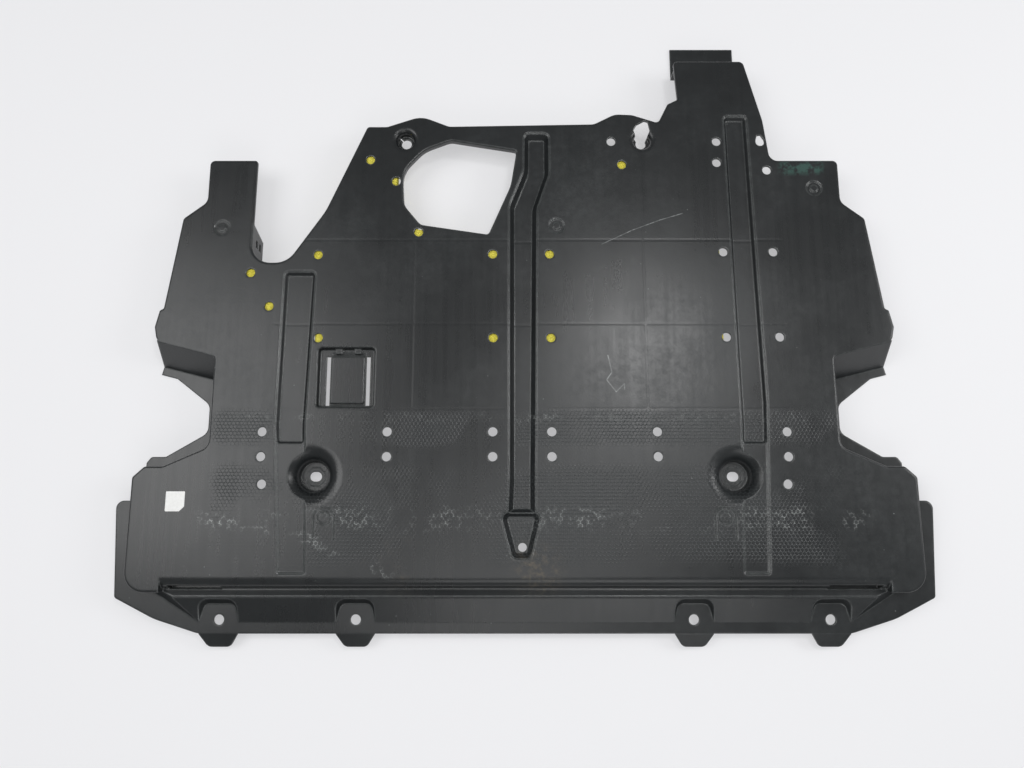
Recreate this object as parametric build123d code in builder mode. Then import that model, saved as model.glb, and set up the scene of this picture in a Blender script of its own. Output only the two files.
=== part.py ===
from build123d import *
import os
from math import cos, radians, sin, sqrt, tan

os.makedirs("parts", exist_ok=True)

# Engine splash shield: one moulded sheet lying on its turned-down walls, road face up.
# X runs across the car, Y towards the rear of the car, Z up out of the road face.

# Sheet thickness and the levels of its main faces.
skin = 2.5
face_z = 45.0
lip_z = 20.0
edge_turn = 6.0
edge_round = 3.0
seam = 1.0

# Front nose: a rolled edge, a shallow V with a ledge, and a ramp down to the flat lip.
nose_y = -331.0
nose_half = 456.0
horn_wide = 45.0
lip_wide = 29.0
hip_reach = 17.0
hip_slope = 50.0
roll_r = 14.0
horn_y = -350.0
ramp_foot_y = -388.0
ramp_foot_half = 412.0
lip_front_y = -402.0
lip_rear_y = -236.0
slot_in_x = 381.0
slot_out_x = 448.0
slot_wide = 5.0
slot_deep = 8.0

# Front fixing tabs.
tab_outer_x = 387.0
tab_inner_x = 214.0
tab_hole_y = -385.0
tab_hole_r = 6.5
tab_drop = 8.0
tab_flare = 30.0

# Bolt wells.
front_well_x = 273.0
front_well_y = -205.0
front_well_r = 19.0
front_well_rim = 22.0
front_well_deep = 28.0
seat_hole_long = 15.5
seat_hole_wide = 12.5
seat_octagon = 24.0
seat_step = 1.0
rear_well_x = 163.0
rear_well_y = 255.0
rear_well_r = 11.5
rear_well_rim = 7.0
rear_well_deep = 14.0
rear_hole_r = 7.0

# Drain holes, grooves and other recesses in the road face.
drain_r = 6.0
channel_deep = 10.0
channel_draft = 35.0
pocket_deep = 10.0
pocket_draft = 35.0
pocket_hole_r = 5.5
groove_deep = 6.0
groove_front_deep = 2.5
groove_draft = 38.0
hatch_deep = 9.0
flap_step = 2.5
clip_high = 4.0
hatch_draft = 10.0
rim_ease = 1.2
mark_deep = 1.0
mark_wide = 2.0
tongue_half = 13.0
tongue_boss_r = 9.0
tongue_long = 27.0
dimple_r = 11.0
dimple_core_r = 5.0
dimple_deep = 1.2

# Service opening, side notches, wing ramps, hanger and tower.
opening_flange = 9.0
notch_wall_x = 402.0
notch_wall_rear_y = -57.0
ramp_run = 27.5
ramp_foot = 11.0
ramp_length = 79.0
hanger_x = -365.6
tower_y = 374.0
tower_left_x = 215.0
tower_right_x = 306.0
tower_flange = 45.0

# Sound pads on the engine side and the paper label.
pad_thick = 12.0
label_thick = 0.3


# A flat area inside a closed outline, each corner given as x, y and its radius.
def rounded(corners):
    with BuildSketch() as area:
        with BuildLine():
            FilletPolyline(*[(x, y) for x, y, r in corners], radius=[r for x, y, r in corners], close=True)
        make_face()
    return area.sketch


# The same corners on the other side of the car, in the order that carries an outline on.
def other_side(corners):
    return [(-x, y, r) for x, y, r in reversed(corners)]


# The space inside a round dish with a trumpet rim that runs out flat at its top level.
def dish(wall_r, rim_r, top_z, floor_z):
    mid = rim_r * (1 - sqrt(0.5))
    with BuildPart() as turned:
        with BuildSketch(Plane.XZ):
            with BuildLine():
                Polyline((0, top_z), (0, floor_z), (wall_r, floor_z), (wall_r, top_z - rim_r))
                ThreePointArc((wall_r, top_z - rim_r), (wall_r + mid, top_z - mid), (wall_r + rim_r, top_z))
                Line((wall_r + rim_r, top_z), (0, top_z))
            make_face()
        revolve(axis=Axis.Z)
    return turned.part


# Deck outline, from the front left corner round by the rear edge.
side_x = nose_half + horn_wide
deck_left = [
    (-side_x, horn_y, 26), (-side_x, -207, 6), (-486, -193, 8), (-463, -193, 10), (-406, -168, 14),
    (-406, -49, 8), (-484, -29, 10), (-488, -10, 4), (-483, 13, 3.5), (-478, 15, 3.5),
    (-461, 141, 8), (-430, 165, 14), (-430, 225, 7),
]
deck_rear = [
    (-365, 225, 3.5), (-366, 79, 25), (-318, 79, 30), (-269, 152, 100), (-216, 275, 5),
    (-189, 275, 15), (-142, 291, 35), (-103, 275.5, 15), (97, 279, 20), (126, 294, 25),
    (150, 293, 25), (186, 281, 6), (200, 309, 3.5), (214, 316, 3.5), (210, tower_y, 5),
    (308, tower_y, 8), (331, 284, 60), (338, 225, 12),
]
deck_front = [
    (nose_half, horn_y, 0), (nose_half, nose_y, 0), (-nose_half, nose_y, 0), (-nose_half, horn_y, 0),
]
deck_area = rounded(deck_left + deck_rear + other_side(deck_left) + deck_front)

with BuildSketch() as wall_line:
    add(deck_area)
    offset(deck_area, amount=-skin, mode=Mode.SUBTRACT)

# Full-depth walls beside the side notches, and the shallower walls round the front horns.
with BuildSketch() as notch_walls:
    add(wall_line.sketch)
    with Locations((-notch_wall_x, notch_wall_rear_y)):
        Rectangle(200, notch_wall_rear_y - lip_rear_y, align=(Align.MAX, Align.MAX), mode=Mode.INTERSECT)
    mirror(about=Plane.YZ)

with BuildSketch() as horn_walls:
    add(wall_line.sketch)
    with Locations((-nose_half + seam, lip_rear_y + seam)):
        Rectangle(200, 300, align=(Align.MAX, Align.MAX), mode=Mode.INTERSECT)
    mirror(about=Plane.YZ)

# Flat flange at the foot of each side notch.
notch_left = [
    (-404, -60, 0), (-472, -66, 3), (-472, -71, 3), (-424, -108, 14), (-424, -146, 14), (-478, -178, 8),
    (-497, -178, 5), (-503, -186, 4), (-503, -193, 3), (-463, -195, 4), (-404, -172, 0),
]
notch_left_area = rounded(notch_left)
notch_right_area = rounded(other_side(notch_left))

# Flat lip round the front, outside the horn walls and the ramp.
lip_left = [
    (-side_x + skin - 0.5, lip_rear_y, 0), (-side_x - lip_wide, lip_rear_y, 10), (-side_x - 21, -358, 5),
    (-470, -384, 80), (-412, lip_front_y, 40),
]
lip_inner_left = [
    (-side_x, lip_rear_y + 10, 0), (-side_x, horn_y, 26), (-nose_half - hip_reach, horn_y, 0),
    (-ramp_foot_half, ramp_foot_y, 0),
]
with BuildSketch() as lip_area:
    add(rounded(lip_left + other_side(lip_left)))
    offset(rounded(lip_inner_left + other_side(lip_inner_left)), amount=-skin, mode=Mode.SUBTRACT)

# Nose section through the sheet, seen along X.
nose_end = nose_y + seam
roll_mid = roll_r * sqrt(0.5)
with BuildSketch(Plane.YZ) as nose_solid_section:
    with BuildLine():
        Polyline((nose_y, face_z), (nose_y + 10, face_z), (nose_y + 10, 0), (ramp_foot_y - 10, 0))
        Polyline((ramp_foot_y - 10, 0), (ramp_foot_y - 10, lip_z), (ramp_foot_y, lip_z), (-357, face_z - 13))
        Polyline((-357, face_z - 13), (-355, face_z - 10.5), (-347, face_z - roll_r))
        Line((-347, face_z - roll_r), (nose_y - roll_r, face_z - roll_r))
        ThreePointArc(
            (nose_y - roll_r, face_z - roll_r),
            (nose_y - roll_mid, face_z - roll_r + roll_mid),
            (nose_y, face_z),
        )
    make_face()

with BuildSketch(Plane.YZ) as nose_sheet_section:
    add(nose_solid_section.sketch_local)
    offset(nose_solid_section.sketch_local, amount=-skin, mode=Mode.SUBTRACT)
    with Locations((nose_y, 0)):
        Rectangle(300, 2 * (lip_z - skin), mode=Mode.SUBTRACT)
    with Locations((nose_end, 0)):
        Rectangle(40, 2 * face_z + 10, align=(Align.MIN, Align.CENTER), mode=Mode.SUBTRACT)

# Plan of the nose between the horns, with a sloped hip down to the lip at each end.
nose_plan = rounded([
    (nose_half + seam, nose_end, 0), (nose_half + seam, horn_y, 0), (nose_half + hip_reach, horn_y, 0),
    (ramp_foot_half, ramp_foot_y, 0), (-ramp_foot_half, ramp_foot_y, 0),
    (-nose_half - hip_reach, horn_y, 0), (-nose_half - seam, horn_y, 0), (-nose_half - seam, nose_end, 0),
])
hip_line = Vector(nose_half + hip_reach - ramp_foot_half, horn_y - ramp_foot_y, 0)
hip_plane = Plane(
    origin=(ramp_foot_half, ramp_foot_y, lip_z), x_dir=(-hip_line.Y, hip_line.X, 0), z_dir=hip_line
)
hip_rise = face_z - lip_z
hip_run = hip_rise / tan(radians(hip_slope))
hip_side = skin / sin(radians(hip_slope))

with BuildPart() as nose_solid:
    with BuildSketch(Plane.YZ):
        add(nose_solid_section.sketch_local)
    extrude(amount=side_x, both=True)
    with BuildSketch(Plane.XY.offset(lip_z - skin)):
        add(nose_plan)
    extrude(amount=face_z, mode=Mode.INTERSECT)

with BuildPart() as hip_space:
    with BuildSketch(hip_plane):
        with BuildLine():
            Polyline((0, 0), (hip_run, hip_rise), (-60, hip_rise), (-60, 0), close=True)
        make_face()
    extrude(amount=150, both=True)
    mirror(about=Plane.YZ)

with BuildPart() as hip_sheets:
    with BuildSketch(hip_plane):
        with BuildLine():
            Polyline(
                (0, 0), (hip_run, hip_rise), (hip_run + hip_side, hip_rise),
                (hip_side, 0), (hip_side, -skin),
                (0, -skin), close=True,
            )
        make_face()
    extrude(amount=150, both=True)
    mirror(about=Plane.YZ)
    add(nose_solid.part, mode=Mode.INTERSECT)

with BuildPart() as nose_sheet:
    with BuildSketch(Plane.YZ):
        add(nose_sheet_section.sketch_local)
    extrude(amount=side_x, both=True)
    with BuildSketch():
        add(nose_plan)
    extrude(amount=2 * face_z, mode=Mode.INTERSECT)
    add(hip_space.part, mode=Mode.SUBTRACT)
    add(hip_sheets.part)

# Fixing tabs: a pocket in the ramp with a flat floor, and a tongue bent down in front of the lip.
tab_area = rounded([
    (-19, -365, 9), (19, -365, 9), (26, -392, 6), (25, lip_front_y, 8), (14, -419, 9), (-14, -419, 9),
    (-25, lip_front_y, 8), (-26, -392, 6),
])
with BuildSketch() as tab_wall_area:
    offset(tab_area, amount=skin)
tab_places = [(-tab_outer_x, 0), (-tab_inner_x, 0), (tab_inner_x, 0), (tab_outer_x, 0)]

with BuildPart() as tab_pocket_walls:
    with BuildSketch(Plane.XY.offset(lip_z - skin)):
        with Locations(*tab_places):
            add(tab_wall_area.sketch)
    extrude(amount=face_z - lip_z, taper=-tab_flare)
    add(nose_solid.part, mode=Mode.INTERSECT)

with BuildPart() as tab_pocket_space:
    with BuildSketch(Plane.XY.offset(lip_z)):
        with Locations(*tab_places):
            add(tab_area)
    extrude(amount=face_z - lip_z, taper=-tab_flare)

with BuildPart() as tab_plates:
    with BuildSketch(Plane.YZ):
        with BuildLine():
            Polyline(
                (-360, lip_z), (lip_front_y, lip_z), (-421, lip_z - tab_drop),
                (-421, lip_z - tab_drop - skin), (lip_front_y, lip_z - skin), (-360, lip_z - skin),
                close=True,
            )
        make_face()
    extrude(amount=nose_half, both=True)
    with BuildSketch():
        with Locations(*tab_places):
            add(tab_area)
    extrude(amount=face_z, mode=Mode.INTERSECT)

# Deeper slots at the foot of the rolled edge, near its two ends.
slot_y = nose_y - roll_r + 1.5
slot_floor_z = face_z - roll_r - slot_deep
slot_x = (slot_in_x + slot_out_x) / 2
with BuildPart() as slot_walls:
    with BuildSketch(Plane.XY.offset(slot_floor_z - skin)):
        with Locations((-slot_x, slot_y), (slot_x, slot_y)):
            Rectangle(slot_out_x - slot_in_x + 2 * skin, slot_wide + 2 * skin)
    extrude(amount=face_z)
    add(nose_solid.part, mode=Mode.INTERSECT)

with BuildPart() as slot_space:
    with BuildSketch(Plane.XY.offset(slot_floor_z)):
        with Locations((-slot_x, slot_y), (slot_x, slot_y)):
            Rectangle(slot_out_x - slot_in_x, slot_wide)
    extrude(amount=face_z)

# Ramp that carries the front end of a wing down to the notch flange.
ramp_slope = skin * sqrt(ramp_run**2 + (face_z - skin) ** 2) / (face_z - skin)
ramp_under = ramp_run - ramp_slope + skin * ramp_run / (face_z - skin)
ramp_plane = Plane(origin=(-406, -49, face_z), x_dir=(-0.2484, -0.9687, 0), z_dir=(-0.9687, 0.2484, 0))
with BuildPart() as wing_ramp:
    with BuildSketch(ramp_plane.offset(-10)):
        with BuildLine():
            Polyline(
                (-ramp_slope, 0), (0, 0), (ramp_run, skin - face_z), (ramp_run + ramp_foot, skin - face_z),
                (ramp_run + ramp_foot, -face_z), (ramp_under, -face_z), close=True,
            )
        make_face()
    extrude(amount=ramp_length + 10)
    with BuildSketch(ramp_plane.offset(ramp_length - skin)):
        with BuildLine():
            Polyline((-ramp_slope, 0), (0, 0), (ramp_run, skin - face_z), (0, -edge_turn - skin), close=True)
        make_face()
    extrude(amount=skin)
    with Locations((-406 + skin, -60, 0)):
        Box(200, 200, face_z, align=(Align.MAX, Align.CENTER, Align.MIN), mode=Mode.INTERSECT)

with BuildPart() as wing_ramp_right:
    add(wing_ramp.part)
    mirror(about=Plane.YZ, mode=Mode.REPLACE)

# Recesses in the road face: outline at the face, depth and draft of the sides.
channel = rounded([
    (-22, -254, 0), (-20, -211, 60), (-20, 159, 30), (-0.5, 209, 30), (0, 265, 9), (35, 265, 9),
    (35, 205, 30), (18, 155, 30), (14, -211, 60), (14, -254, 0),
])
front_pocket = rounded([(-32, -250, 10), (22, -250, 10), (8, -309, 9), (-16, -309, 9)])
left_groove = rounded([
    (-320, 66, 6), (-278, 66, 6), (-283, -140, 0), (-282, -166, 6), (-320, -166, 6), (-322, -140, 0),
])
left_groove_front = rounded([(-321, -155, 3), (-282, -155, 3), (-275, -327, 3), (-309, -327, 3)])
right_groove = rounded([
    (276, 290, 6), (308, 290, 6), (315, -110, 0), (313, -166, 6), (279, -166, 6), (280, -140, 0),
])
right_groove_front = rounded([(279, -155, 3), (313, -155, 3), (306, -327, 3), (274, -327, 3)])
hatch = rounded([(-270, -38, 5), (-196, -38, 5), (-196, -117, 5), (-270, -117, 5)])
recesses = [
    (channel, channel_deep, channel_draft),
    (front_pocket, pocket_deep, pocket_draft),
    (left_groove, groove_deep, groove_draft),
    (right_groove, groove_deep, groove_draft),
    (left_groove_front, groove_front_deep, groove_draft),
    (right_groove_front, groove_front_deep, groove_draft),
    (hatch, hatch_deep, hatch_draft),
]

front_well_wall = dish(
    front_well_r + skin, front_well_rim - skin, face_z - skin, face_z - front_well_deep - skin,
)
front_well_space = dish(front_well_r, front_well_rim, face_z, face_z - front_well_deep)
rear_well_wall = dish(
    rear_well_r + skin, rear_well_rim - skin, face_z - skin, face_z - rear_well_deep - skin,
)
rear_well_space = dish(rear_well_r, rear_well_rim, face_z, face_z - rear_well_deep)
front_well_places = [(-front_well_x, front_well_y), (front_well_x, front_well_y)]
rear_well_places = [(-rear_well_x, rear_well_y), (rear_well_x, rear_well_y)]

opening_area = rounded([
    (-10, 239, 4), (-101, 254, 18), (-137, 240, 45), (-166, 208, 38), (-163, 160, 25), (-140, 132, 12),
    (-48, 118, 5), (-18, 188, 60),
])

drain_places = [
    (-210, 225), (-174, 194), (-142, 121), (-276, 89), (-365, 64), (-338, 18), (-271, -25), (-42, 90),
    (-41, -25), (34, 90), (35, -25), (134, 218), (267, 93), (266, -24), (120, 252), (265, 252), (264, 221),
    (325, 252), (332, 210), (334, 93), (336, -24), (-335, -216), (335, -216),
]
for row_y in (-149, -181):
    for row_x in (-338, -177, -41, 35, 171, 338):
        drain_places.append((row_x, row_y))

# Broken-out rear well on the right, a chipped drain hole, and the shallow lines of two tongues.
rear_break = rounded([
    (151, 269, 1), (156, 277, 2), (167, 283, 1), (171, 282, 1), (174, 269, 2), (168, 256, 0), (158, 256, 0),
])
drain_chip = rounded([(319, 254, 0), (321, 261, 1), (326, 262, 1), (331, 254, 0)])
tongue_places = [(-253.5, -258.5), (253.5, -258.5)]
with BuildSketch() as tongue_marks:
    with Locations(*tongue_places):
        Circle(tongue_half + mark_wide / 2)
        Rectangle(2 * tongue_half + mark_wide, tongue_long, align=(Align.CENTER, Align.MAX))
    with Locations(*tongue_places):
        Circle(tongue_half - mark_wide / 2, mode=Mode.SUBTRACT)
        Rectangle(
            2 * tongue_half - mark_wide, tongue_long, align=(Align.CENTER, Align.MAX), mode=Mode.SUBTRACT
        )
    with Locations(*tongue_places):
        Circle(tongue_boss_r)
    with Locations(*tongue_places):
        Circle(tongue_boss_r - mark_wide, mode=Mode.SUBTRACT)

# Outlines of the two pads and the label.
rounded_left_pad = rounded([
    (-384, 6, 8), (-384, 72, 8), (-314, 72, 6), (-262, 147, 30), (-219, 240, 6), (-190, 240, 8),
    (-172, 228, 6), (-172, 160, 10), (-143, 127, 6), (-50, 113, 4), (-25, 113, 4), (-25, -33, 6),
    (-276, -33, 6), (-273, 70.5, 4), (-326, 70.5, 4), (-326, 6, 6),
])
rounded_right_pad = rounded([
    (24, -33, 6), (24, 155, 20), (41, 204, 20), (41, 232, 6), (238, 232, 10), (257, 204, 10),
    (263.5, 140, 20), (263.5, -33, 6),
])
label_area = rounded([(-455, -225, 1), (-431, -225, 1), (-431, -244, 0), (-437, -250, 0), (-455, -250, 1)])

# The moulded panel.
with BuildPart() as shield_panel:
    with BuildSketch(Plane.XY.offset(face_z - edge_turn)):
        add(deck_area)
    extrude(amount=edge_turn)
    top_edges = shield_panel.edges().filter_by_position(Axis.Z, face_z, face_z)
    turned_edges = [
        edge for edge in top_edges
        if abs(edge.center().X) > nose_half or edge.center().Y > nose_y + 1
    ]
    fillet(turned_edges, radius=edge_round)
    with BuildSketch(Plane.XY.offset(face_z - edge_turn)):
        offset(deck_area, amount=-skin)
        with Locations((0, nose_y - seam)):
            Rectangle(2 * nose_half - 2 * skin, 40, align=(Align.CENTER, Align.MIN))
    extrude(amount=edge_turn - skin, mode=Mode.SUBTRACT)

    with BuildSketch():
        add(notch_walls.sketch)
    extrude(amount=face_z - edge_turn + seam)
    with BuildSketch(Plane.XY.offset(lip_z - skin)):
        add(horn_walls.sketch)
    extrude(amount=face_z - edge_turn + seam - lip_z + skin)
    with BuildSketch():
        add(notch_left_area)
        add(notch_right_area)
    extrude(amount=skin)
    with BuildSketch(Plane.XY.offset(lip_z - skin)):
        add(lip_area.sketch)
    extrude(amount=skin)

    add(nose_sheet.part)
    add(tab_pocket_walls.part)
    add(slot_walls.part)
    add(tab_pocket_space.part, mode=Mode.SUBTRACT)
    add(slot_space.part, mode=Mode.SUBTRACT)
    add(tab_plates.part)
    add(wing_ramp.part)
    add(wing_ramp_right.part)

    with BuildSketch(Plane.YZ.offset(hanger_x)):
        with BuildLine():
            Polyline((84, face_z - seam), (95, 0), (122, 0), (135, face_z - seam), close=True)
        make_face()
        with Locations((110, face_z - 19), (110, face_z - 32)):
            Rectangle(10, 7, mode=Mode.SUBTRACT)
    extrude(amount=-skin)

    with BuildSketch(Plane.XZ.offset(-tower_y)):
        with Locations((tower_left_x, 0)):
            Rectangle(
                tower_right_x - tower_left_x, face_z - edge_turn + seam, align=(Align.MIN, Align.MIN)
            )
    extrude(amount=skin)
    with BuildSketch():
        with Locations((tower_left_x, tower_y - skin)):
            Rectangle(tower_right_x - tower_left_x, tower_flange + skin, align=(Align.MIN, Align.MIN))
    extrude(amount=skin)

    for outline, deep, draft in recesses:
        with BuildSketch(Plane.XY.offset(face_z)):
            offset(outline, amount=skin / cos(radians(draft)), kind=Kind.INTERSECTION)
        extrude(amount=-deep - skin, taper=draft)
    with Locations(*front_well_places):
        add(front_well_wall)
    with Locations(*rear_well_places):
        add(rear_well_wall)
    with BuildSketch(Plane.XY.offset(face_z - opening_flange)):
        offset(opening_area, amount=skin)
    extrude(amount=opening_flange - skin + seam)

    for outline, deep, draft in recesses:
        with BuildSketch(Plane.XY.offset(face_z)):
            add(outline)
        extrude(amount=-deep, taper=draft, mode=Mode.SUBTRACT)
        with BuildSketch(Plane.XY.offset(face_z)):
            offset(outline, amount=rim_ease, kind=Kind.INTERSECTION)
        extrude(amount=-rim_ease, taper=45, mode=Mode.SUBTRACT)
    with Locations(*front_well_places):
        add(front_well_space, mode=Mode.SUBTRACT)
    with Locations(*rear_well_places):
        add(rear_well_space, mode=Mode.SUBTRACT)
    with BuildSketch(Plane.XY.offset(face_z)):
        add(opening_area)
    extrude(amount=-opening_flange, mode=Mode.SUBTRACT)
    with BuildSketch(Plane.XY.offset(face_z)):
        offset(opening_area, amount=rim_ease, kind=Kind.INTERSECTION)
    extrude(amount=-rim_ease, taper=45, mode=Mode.SUBTRACT)

    front_seat_z = face_z - front_well_deep
    with BuildSketch(Plane.XY.offset(front_seat_z)):
        with Locations(*front_well_places):
            RegularPolygon(seat_octagon / 2, 8, major_radius=False, rotation=22.5)
    extrude(amount=-seat_step, mode=Mode.SUBTRACT)
    with BuildSketch(Plane.XY.offset(front_seat_z)):
        with Locations(*front_well_places):
            SlotOverall(seat_hole_long, seat_hole_wide)
    extrude(amount=-2 * skin, mode=Mode.SUBTRACT)
    rear_seat_z = face_z - rear_well_deep
    with BuildSketch(Plane.XY.offset(rear_seat_z)):
        with Locations(*rear_well_places):
            Circle(rear_hole_r)
        with Locations(Location((-rear_well_x - rear_hole_r, rear_well_y + rear_hole_r, 0), (0, 0, 135))):
            Rectangle(9, 2)
    extrude(amount=-2 * skin, mode=Mode.SUBTRACT)
    with BuildSketch(Plane.XY.offset(face_z)):
        add(rear_break)
    extrude(amount=-face_z, mode=Mode.SUBTRACT)

    with BuildSketch(Plane.XY.offset(face_z)):
        with Locations(*drain_places):
            Circle(drain_r)
        add(drain_chip)
    extrude(amount=-2 * skin, mode=Mode.SUBTRACT)
    with BuildSketch(Plane.XY.offset(face_z - pocket_deep)):
        with Locations((-3, -295)):
            Circle(pocket_hole_r)
    extrude(amount=-2 * skin, mode=Mode.SUBTRACT)
    with BuildSketch(Plane.XY.offset(lip_z)):
        with Locations(*[(x, tab_hole_y) for x, y in tab_places]):
            Circle(tab_hole_r)
    extrude(amount=-2 * skin, mode=Mode.SUBTRACT)
    with BuildSketch(Plane.XY.offset(face_z - hatch_deep)):
        with Locations((-231.5, -80)):
            RectangleRounded(43, 62, 2)
    extrude(amount=flap_step)
    with BuildSketch(Plane.XY.offset(face_z - hatch_deep)):
        with Locations((-244, -42), (-219, -42)):
            Rectangle(9, 7)
    extrude(amount=clip_high)
    with BuildSketch(Plane.XY.offset(face_z - hatch_deep)):
        with Locations((-257.5, -81.5), (-205.25, -81.5)):
            Rectangle(5.25, 65)
    extrude(amount=-2 * skin, mode=Mode.SUBTRACT)
    with BuildSketch(Plane.XY.offset(face_z - hatch_deep)):
        with Locations((-231.5, -112), (-231.5, -45)):
            Rectangle(44, 3)
    extrude(amount=-mark_deep, mode=Mode.SUBTRACT)

    with BuildSketch(Plane.XY.offset(face_z)):
        add(tongue_marks.sketch)
    extrude(amount=-mark_deep, mode=Mode.SUBTRACT)
    with BuildSketch(Plane.XY.offset(face_z)):
        with Locations((-407, 127), (44, 130), (395, 184)):
            Circle(dimple_r)
    extrude(amount=-dimple_deep, taper=45, mode=Mode.SUBTRACT)
    with BuildSketch(Plane.XY.offset(face_z - skin)):
        with Locations((-407, 127), (44, 130), (395, 184)):
            Circle(dimple_core_r)
    extrude(amount=skin)

shield_panel.part.label = "shield_panel"
export_step(shield_panel.part, "parts/shield_panel.step")

# Foam sound pads stuck under the sheet on the engine side.
pad_z = face_z - skin - pad_thick
with BuildPart() as left_pad:
    with BuildSketch(Plane.XY.offset(pad_z)):
        add(rounded_left_pad)
    extrude(amount=pad_thick)
left_pad.part.label = "left_pad"
export_step(left_pad.part, "parts/left_pad.step")

with BuildPart() as right_pad:
    with BuildSketch(Plane.XY.offset(pad_z)):
        add(rounded_right_pad)
    extrude(amount=pad_thick)
right_pad.part.label = "right_pad"
export_step(right_pad.part, "parts/right_pad.step")

# Blank paper label on the road face, one corner cut off.
with BuildPart() as label:
    with BuildSketch(Plane.XY.offset(face_z)):
        add(label_area)
    extrude(amount=label_thick)
label.part.label = "label"
export_step(label.part, "parts/label.step")
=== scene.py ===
import math
import bpy
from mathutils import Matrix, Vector


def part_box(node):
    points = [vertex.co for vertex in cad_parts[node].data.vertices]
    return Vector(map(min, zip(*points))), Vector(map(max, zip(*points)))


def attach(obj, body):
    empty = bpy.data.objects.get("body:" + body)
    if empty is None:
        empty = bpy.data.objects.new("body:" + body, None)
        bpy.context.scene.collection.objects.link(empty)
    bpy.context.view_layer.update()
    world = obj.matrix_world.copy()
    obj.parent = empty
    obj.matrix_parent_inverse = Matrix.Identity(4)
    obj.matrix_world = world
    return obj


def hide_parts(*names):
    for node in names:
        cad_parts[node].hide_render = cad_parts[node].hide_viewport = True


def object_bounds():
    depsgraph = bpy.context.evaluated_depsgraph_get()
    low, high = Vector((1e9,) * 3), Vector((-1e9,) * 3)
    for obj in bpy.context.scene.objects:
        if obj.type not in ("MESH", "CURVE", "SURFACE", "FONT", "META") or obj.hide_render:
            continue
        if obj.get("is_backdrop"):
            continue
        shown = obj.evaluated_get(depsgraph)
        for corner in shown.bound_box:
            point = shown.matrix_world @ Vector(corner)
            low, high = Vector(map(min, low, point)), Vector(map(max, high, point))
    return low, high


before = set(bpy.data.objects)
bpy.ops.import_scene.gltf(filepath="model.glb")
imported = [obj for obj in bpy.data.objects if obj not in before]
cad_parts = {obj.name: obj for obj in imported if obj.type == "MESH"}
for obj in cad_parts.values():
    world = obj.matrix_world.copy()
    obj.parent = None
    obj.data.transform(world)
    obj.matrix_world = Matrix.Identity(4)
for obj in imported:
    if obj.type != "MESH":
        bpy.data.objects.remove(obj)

cad_low, cad_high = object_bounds()

# Shield panel: one sheet of black polypropylene, 2.5 mm thick, compression moulded.
# Its walls, wells, grooves and front lip are all part of the same moulding.
# Lengths are in metres; x runs across the car, y to its rear, and z up from the floor.


def linear(code):
    channels = [int(code[i:i + 2], 16) / 255 for i in (1, 3, 5)]
    return [c / 12.92 if c <= 0.04045 else ((c + 0.055) / 1.055) ** 2.4 for c in channels] + [1.0]


def node(tree, kind, links=None, output=None, **settings):
    made = tree.nodes.new(kind)
    for name, value in settings.items():
        setattr(made, name, value)
    for socket, value in (links or {}).items():
        if isinstance(value, bpy.types.NodeSocket):
            tree.links.new(value, made.inputs[socket])
        else:
            made.inputs[socket].default_value = value
    return made.outputs[output] if output is not None else made


def new_material(name):
    made = bpy.data.materials.new(name)
    made.use_nodes = True
    made.node_tree.nodes.clear()
    return made, made.node_tree


def dress(mesh, material):
    mesh.materials.clear()
    mesh.materials.append(material)


# Masks run from 0 to 1. The ones below are drawn in the material at hand, tree.
def masks(operation, *parts):
    result = parts[0]
    for part in parts[1:]:
        result = node(tree, "ShaderNodeMath", {0: result, 1: part}, 0, operation=operation,
                      use_clamp=operation == "ADD")
    return result


def blotches(where, size, detail, low=0.0, high=1.0, least=0.0, most=1.0, rough=0.5):
    noise = node(tree, "ShaderNodeTexNoise",
                 {"Vector": where, "Scale": 1 / size, "Detail": detail, "Roughness": rough}, 0)
    return node(tree, "ShaderNodeMapRange", {0: noise, 1: low, 2: high, 3: least, 4: most}, 0)


def between(value, low, high, soft):
    rise = node(tree, "ShaderNodeMapRange", {0: value, 1: low - soft, 2: low + soft, 3: 0.0, 4: 1.0}, 0,
                interpolation_type="SMOOTHSTEP")
    fall = node(tree, "ShaderNodeMapRange", {0: value, 1: high - soft, 2: high + soft, 3: 1.0, 4: 0.0}, 0,
                interpolation_type="SMOOTHSTEP")
    return masks("MULTIPLY", rise, fall)


def patch(left, right, front, rear, soft):
    return masks("MULTIPLY", between(across, left, right, soft), between(along, front, rear, soft))


def stroke(start, end, wide, soft):
    run = Vector(end) - Vector(start)
    turned = node(tree, "ShaderNodeMapping", {
        "Vector": place,
        "Location": (start[0], start[1], 0.0),
        "Rotation": (0.0, 0.0, math.atan2(run.y, run.x)),
    }, 0, vector_type="TEXTURE")
    parts = node(tree, "ShaderNodeSeparateXYZ", {"Vector": turned})
    return masks("MULTIPLY", between(parts.outputs["X"], 0.0, run.length, soft),
                 between(parts.outputs["Y"], -wide / 2, wide / 2, soft))


def layered(base, *layers):
    colour = linear(base)
    for mask, strength, code in layers:
        amount = masks("MULTIPLY", mask, strength)
        colour = node(tree, "ShaderNodeMix", {0: amount, 6: colour, 7: linear(code)}, 2, data_type="RGBA")
    return colour


# Moulded polypropylene: near black with a satin skin, so the light that it mirrors is what the
# eye sees. Two bands carry a honeycomb grain, and use has left dust, scuffs and scratches.
polypropylene, tree = new_material("moulded_black_polypropylene")
place = node(tree, "ShaderNodeTexCoord", output="Object")
axes = node(tree, "ShaderNodeSeparateXYZ", {"Vector": place})
across, along = axes.outputs["X"], axes.outputs["Y"]
flat = node(tree, "ShaderNodeNewGeometry", output="True Normal")
facing = node(tree, "ShaderNodeSeparateXYZ", {"Vector": flat}, "Z")
road_face = node(tree, "ShaderNodeMapRange", {0: facing, 1: -0.1, 2: 0.1}, 0)

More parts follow.
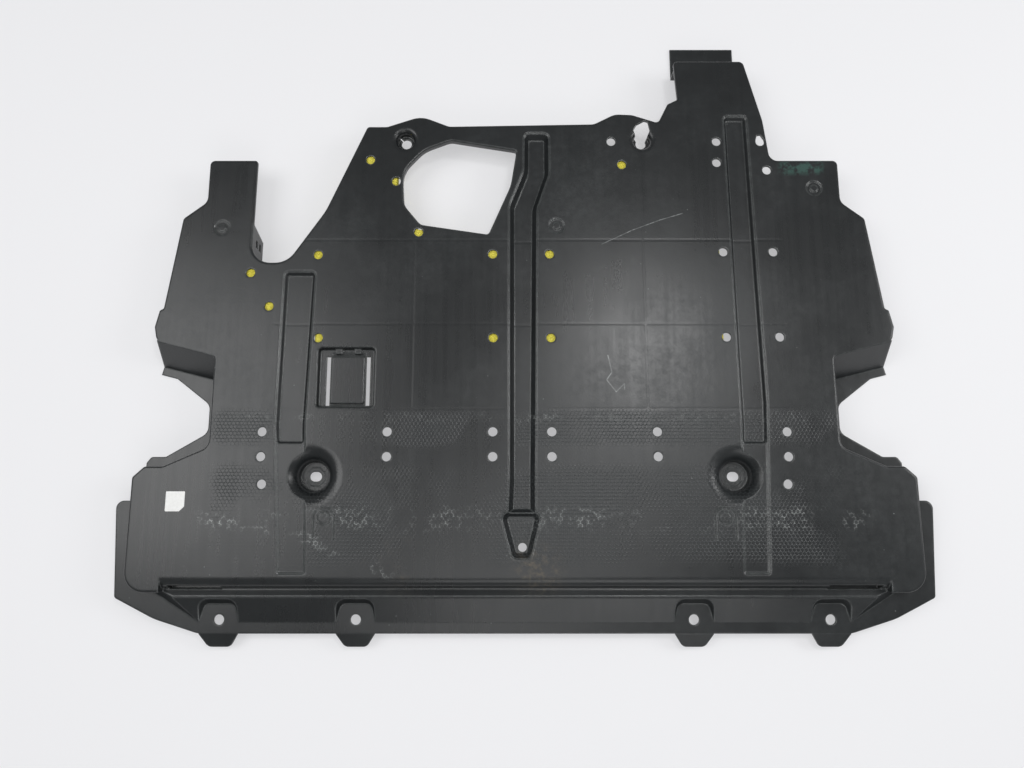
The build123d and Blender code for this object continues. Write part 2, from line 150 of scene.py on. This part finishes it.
# Honeycomb grain: cells 5 mm across, each point measured to the nearest of two interleaved grids of
# centres, with raised rims where the two are equally far. Wear has polished it away in places.
cell = 0.005
rim_inside, rim_outside = cell * 0.38, cell * 0.52
grid = Vector((cell, cell * math.sqrt(3), 1.0))
half_grid = Vector((grid.x / 2, grid.y / 2, 0.0))
beyond_panel = Vector((2.0, 2.0, 0.0))
reach = []
for start in (beyond_panel, beyond_panel + half_grid):
    local = node(tree, "ShaderNodeVectorMath", {0: place, 1: start}, 0, operation="ADD")
    local = node(tree, "ShaderNodeVectorMath", {0: local, 1: (1.0, 1.0, 0.0)}, 0, operation="MULTIPLY")
    local = node(tree, "ShaderNodeVectorMath", {0: local, 1: grid}, 0, operation="MODULO")
    local = node(tree, "ShaderNodeVectorMath", {0: local, 1: half_grid}, 0, operation="SUBTRACT")
    reach.append(node(tree, "ShaderNodeVectorMath", {0: local}, "Value", operation="LENGTH"))
nearest = masks("MINIMUM", *reach)
rims = node(tree, "ShaderNodeMapRange", {0: nearest, 1: rim_inside, 2: rim_outside, 3: 0.0, 4: 1.0}, 0,
            interpolation_type="SMOOTHSTEP")
rear_band = patch(-0.400, 0.400, -0.165, -0.124, 0.010)
front_band = patch(-0.400, 0.400, -0.312, -0.195, 0.015)
grain_wear = blotches(place, 0.091, 3.0, 0.42, 0.62, least=0.1)
grain = masks("MULTIPLY", rims, masks("ADD", rear_band, front_band), grain_wear)

# Faint moulded lines divide the middle of the sheet into tiles.
line_half = 0.0015
lines = 0.0
for axis, spot in ((along, 0.110), (along, -0.006), (along, -0.119), (across, -0.147), (across, 0.160)):
    lines = masks("ADD", lines, between(axis, spot - line_half, spot + line_half, line_half))
lines = masks("MULTIPLY", lines, patch(-0.330, 0.345, -0.122, 0.240, 0.004))

# Dust lies in soft blotches broken up by a fine speckle.
fine = blotches(place, 0.00833, 4.0, 0.40, 0.70, rough=0.7)
dust = blotches(place, 0.167, 8.0, 0.42, 0.74, rough=0.62)
dust = masks("MULTIPLY", dust, masks("ADD", masks("MULTIPLY", fine, 0.6), 0.4))

# Scuffs: the raised rims are rubbed white in chips along a line behind the front edge, along the rear
# band, and down a bent trail to the left end of the rolled edge.
spread = blotches(place, 0.0455, 4.0, 0.45, 0.66)
chips = blotches(place, 0.00667, 3.0, 0.50, 0.60)
rubbed = masks(
    "ADD",
    masks("MULTIPLY", patch(-0.330, 0.440, -0.274, -0.246, 0.008), 0.6),
    stroke((-0.420, -0.259), (-0.300, -0.272), 0.014, 0.007),
    stroke((-0.300, -0.272), (-0.165, -0.325), 0.014, 0.008),
    masks("MULTIPLY", patch(-0.410, 0.420, -0.136, -0.124, 0.005), 0.4),
)
scuffs = masks("MULTIPLY", rubbed, road_face, spread, chips, masks("ADD", rims, 0.15))

# Scratches: a wide soft rub and a long hair line behind the centre, chipped marks to the right of it
# and scattered specks.
rub = masks("MULTIPLY", stroke((0.065, 0.055), (0.146, 0.081), 0.010, 0.006), spread, road_face)
hair_line = [(0.104, 0.104), (0.146, 0.124), (0.184, 0.1385), (0.215, 0.148)]
bent_mark = [
    (0.109, -0.048), (0.114, -0.071), (0.107, -0.081),
    (0.119, -0.097), (0.130, -0.086), (0.130, -0.094),
]
marks = 0.0
for points, wide in ((hair_line, 0.0008), (bent_mark, 0.0012)):
    for start, end in zip(points, points[1:]):
        marks = masks("ADD", marks, stroke(start, end, wide, 0.0006))
marks = masks("MULTIPLY", marks, masks("ADD", masks("MULTIPLY", chips, 0.6), 0.4), road_face)
speck_spacing = 0.0182
specks = node(tree, "ShaderNodeTexVoronoi", {"Vector": place, "Scale": 1 / speck_spacing}, "Distance")
specks = node(tree, "ShaderNodeMapRange", {0: specks, 1: 0.035, 2: 0.05, 3: 1.0, 4: 0.0}, 0)
scratches = masks("ADD", marks, masks("MULTIPLY", specks, spread, 0.5))

# Green paint rubbed off on the rear edge of the right wing, and brown soil on the front.
paint_grain = node(tree, "ShaderNodeMapRange", {0: fine, 1: 0.1, 2: 0.5}, 0)
paint = masks("MULTIPLY", patch(0.350, 0.408, 0.205, 0.222, 0.005), paint_grain, road_face)
left_soil = patch(-0.170, -0.110, -0.345, -0.290, 0.025)
centre_soil = patch(-0.010, 0.040, -0.350, -0.300, 0.02)
soil = masks("MULTIPLY", masks("ADD", left_soil, centre_soil), fine, dust, road_face)

# Moulded edges are eased by 3 mm in the shading; this edge mask makes them glossier and paints a pale
# highlight into their colour.
edge_radius = 0.003
eased = node(tree, "ShaderNodeBevel", {"Radius": edge_radius}, 0, samples=8)
turn = node(tree, "ShaderNodeVectorMath", {0: eased, 1: flat}, "Value", operation="DOT_PRODUCT")
edge_gloss_and_painted_highlight = node(tree, "ShaderNodeMapRange", {0: turn, 1: 0.995, 2: 0.93, 3: 0.0, 4: 1.0}, 0)
edge_gloss_and_painted_highlight = masks("MULTIPLY", edge_gloss_and_painted_highlight, masks("ADD", masks("MULTIPLY", fine, 0.5), 0.5))

colour = layered(
    "#1b1d1e",
    (dust, 1.0, "#2b2e2f"),
    (grain, 0.5, "#45494a"),
    (scratches, 0.6, "#a4a8a7"),
    (scuffs, 0.7, "#b4b8b6"),
    (rub, 0.12, "#9a9d9b"),
    # painted highlight: the eased edges are lightened towards pale grey
    (edge_gloss_and_painted_highlight, 0.3, "#8b8f8e"),
    (soil, 0.7, "#7a6a52"),
    (paint, 0.7, "#35554d"),
)

# The skin is duller under dust and wear, and streaked fore and aft where the plastic flowed.
streak_wide, streak_long = 0.00833, 0.25
flow = node(tree, "ShaderNodeMapping",
            {"Vector": place, "Scale": (1 / streak_wide, 1 / streak_long, 1.0)}, 0)
rough = node(tree, "ShaderNodeMapRange", {0: dust, 1: 0.0, 2: 1.0, 3: 0.27, 4: 0.44}, 0)
rough = masks(
    "ADD",
    rough,
    blotches(flow, 1.0, 3.0, 0.35, 0.65, least=-0.01, most=0.025),
    masks("MULTIPLY", edge_gloss_and_painted_highlight, -0.14),
    masks("MULTIPLY", masks("ADD", scuffs, masks("ADD", grain, rub)), 0.12),
)

# Height in millimetres, turned to metres by the bump distance: cells, a fine mould texture, lines,
# scratches and the sheet's own slow waves.
skin_noise = blotches(place, 0.002, 2.0)
waves = blotches(place, 0.143, 1.0)
heights = ((grain, 0.22), (skin_noise, 0.05), (lines, -0.10), (scratches, 0.04), (waves, 1.2))
height = 0.0
for mask, millimetres in heights:
    height = node(tree, "ShaderNodeMath", {0: mask, 1: millimetres, 2: height}, 0, operation="MULTIPLY_ADD")
relief = node(tree, "ShaderNodeBump",
              {"Strength": 1.0, "Distance": 0.001, "Height": height, "Normal": eased}, 0)
shader = node(tree, "ShaderNodeBsdfPrincipled",
              {"Base Color": colour, "Roughness": rough, "Normal": relief, "IOR": 1.49}, 0)
node(tree, "ShaderNodeOutputMaterial", {"Surface": shader})
dress(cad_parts["shield_panel"].data, polypropylene)

# Sound pads: die-cut yellow foam, 12 mm thick, bonded under the sheet on the engine side.
# They show through the drain holes as yellow spots. Outlines are in millimetres.
# Cut foam: matt, blotched, with open cells drawn 2 mm across so that they show.
foam, tree = new_material("cut_yellow_sound_foam")
place = node(tree, "ShaderNodeTexCoord", output="Object")
pore = 0.002
cells = node(tree, "ShaderNodeTexVoronoi", {"Vector": place, "Scale": 1 / pore}, "Distance")
tone = layered("#cfc236", (blotches(place, 0.040, 4.0), 1.0, "#ece468"), (cells, 0.6, "#a8992a"))
pores = node(tree, "ShaderNodeBump", {"Strength": 0.8, "Distance": 0.001, "Height": cells}, 0)
shader = node(tree, "ShaderNodeBsdfPrincipled", {"Base Color": tone, "Roughness": 0.95, "Normal": pores}, 0)
node(tree, "ShaderNodeOutputMaterial", {"Surface": shader})

left_outline = [
    (-309, 79), (-262, 147), (-219, 240), (-190, 240), (-172, 228), (-172, 160),
    (-143, 127), (-50, 113), (-25, 113), (-25, -33), (-277, -33), (-274, 79),
]
left_strip = [(-384, 6), (-384, 72), (-331, 72), (-331, 6)]
right_outline = [
    (24, -33), (24, 155), (41, 204), (41, 232), (238, 232), (257, 204), (263.5, 140), (263.5, -33),
]
cut_edge = 0.001
unevenness = bpy.data.textures.new("foam_unevenness", "CLOUDS")
unevenness.noise_scale = 0.03
for name, outlines in (("left_pad", [left_outline, left_strip]), ("right_pad", [right_outline])):
    low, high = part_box(name)
    drawn = bpy.data.curves.new(name + "_cut", "CURVE")
    drawn.dimensions = "2D"
    drawn.fill_mode = "BOTH"
    drawn.extrude = (high.z - low.z) / 2 - cut_edge
    drawn.bevel_depth = cut_edge
    drawn.bevel_resolution = 3
    drawn.offset = -cut_edge
    for outline in outlines:
        line = drawn.splines.new("POLY")
        line.points.add(len(outline) - 1)
        for point, (x, y) in zip(line.points, outline):
            point.co = (x / 1000, y / 1000, 0.0, 1.0)
        line.use_cyclic_u = True
    sketch = bpy.data.objects.new(name + "_sketch", drawn)
    foam_mesh = bpy.data.meshes.new_from_object(sketch)
    bpy.data.objects.remove(sketch)
    pad = bpy.data.objects.new(name + "_foam", foam_mesh)
    pad.location = (0.0, 0.0, (low.z + high.z) / 2)
    bpy.context.scene.collection.objects.link(pad)
    dress(foam_mesh, foam)
    fine_mesh = pad.modifiers.new("fine_mesh", "REMESH")
    fine_mesh.mode = "VOXEL"
    fine_mesh.voxel_size = 0.002
    fine_mesh.use_smooth_shade = True
    uneven = pad.modifiers.new("uneven_cut", "DISPLACE")
    uneven.texture = unevenness
    uneven.texture_coords = "LOCAL"
    uneven.mid_level = 1.0
    uneven.strength = 0.0006
    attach(pad, "root")
    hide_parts(name)

# Label: a blank square of white film stuck to the left of the road face, one corner cut off.
# Paper film: matt white with a faint fibre.
film, tree = new_material("white_paper_film")
place = node(tree, "ShaderNodeTexCoord", output="Object")
tone = layered("#dcdcda", (blotches(place, 0.00333, 6.0), 1.0, "#f4f4f2"))
shader = node(tree, "ShaderNodeBsdfPrincipled", {"Base Color": tone, "Roughness": 0.6}, 0)
node(tree, "ShaderNodeOutputMaterial", {"Surface": shader})
dress(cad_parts["label"].data, film)

# Studio: a pale floor, soft lamps overhead and the camera looking down as in the photograph.
# Half of what the camera sees of the floor is its own plain white, so the holes show pale.
paper, tree = new_material("pale_floor_paper")
own_white = 0.5
matte = node(tree, "ShaderNodeBsdfPrincipled", {"Base Color": linear("#e6e6e8"), "Roughness": 0.9}, 0)
white = node(tree, "ShaderNodeEmission", {"Color": linear("#f4f4f6"), "Strength": 1.0}, 0)
seen = node(tree, "ShaderNodeLightPath").outputs
direct = masks("MAXIMUM", seen["Is Camera Ray"], seen["Is Transmission Ray"], seen["Is Glossy Ray"])
share = masks("MULTIPLY", direct, own_white)
mixed = node(tree, "ShaderNodeMixShader", {0: share, 1: matte, 2: white}, 0)
node(tree, "ShaderNodeOutputMaterial", {"Surface": mixed})
mesh = bpy.data.meshes.new("floor")
half = 12.0
corners = [(-half, -half, 0), (half, -half, 0), (half, half, 0), (-half, half, 0)]
mesh.from_pydata(corners, [], [(0, 1, 2, 3)])
floor = bpy.data.objects.new("floor", mesh)
dress(mesh, paper)
floor_gap = 0.0002
floor.location.z = cad_low.z - floor_gap
bpy.context.scene.collection.objects.link(floor)
floor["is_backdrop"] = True


def lamp(name, spot, target, wide, deep, watts):
    light = bpy.data.lights.new(name, "AREA")
    light.shape = "RECTANGLE"
    light.size = wide
    light.size_y = deep
    light.energy = watts
    holder = bpy.data.objects.new(name, light)
    holder.location = spot
    holder.rotation_euler = (Vector(target) - Vector(spot)).to_track_quat("-Z", "Y").to_euler()
    bpy.context.scene.collection.objects.link(holder)


lamp("left_softbox", (-1.45, 0.15, 2.0), (-0.3, 0.0, 0.0), 1.2, 1.5, 22)
lamp("overhead_lamp", (0.50, 0.40, 2.0), (0.2, 0.1, 0.0), 0.34, 0.30, 7.5)
lamp("top_fill", (0.1, -0.35, 2.0), (0.05, -0.3, 0.0), 1.4, 0.7, 6)
lamp("right_softbox", (1.8, 0.2, 1.2), (0.0, 0.0, 0.0), 0.8, 0.8, 13)
lamp("front_softbox", (0.3, -1.9, 1.7), (0.0, -0.1, 0.0), 1.4, 0.9, 9)

# The room lights the part softly; where the camera looks past the floor it sees plain white.
room_level, backdrop_level = 0.30, 0.95
world = bpy.data.worlds.new("studio")
world.use_nodes = True
tree = world.node_tree
tree.nodes.clear()
seen = node(tree, "ShaderNodeLightPath").outputs
level = node(tree, "ShaderNodeMapRange", {0: seen["Is Camera Ray"], 3: room_level, 4: backdrop_level}, 0)
sky = node(tree, "ShaderNodeBackground", {"Color": linear("#f2f4f6"), "Strength": level}, 0)
node(tree, "ShaderNodeOutputWorld", {"Surface": sky})
bpy.context.scene.world = world

camera = bpy.data.objects.new("camera", bpy.data.cameras.new("camera"))
camera.data.sensor_width = 36.0
camera.data.lens = 27.04
camera.location = (-0.01625, -0.26032, 1.02981)
camera.rotation_euler = (math.radians(10.0), 0.0, 0.0)
bpy.context.scene.collection.objects.link(camera)
bpy.context.scene.camera = camera
bpy.context.scene.view_settings.view_transform = "Standard"

low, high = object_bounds()
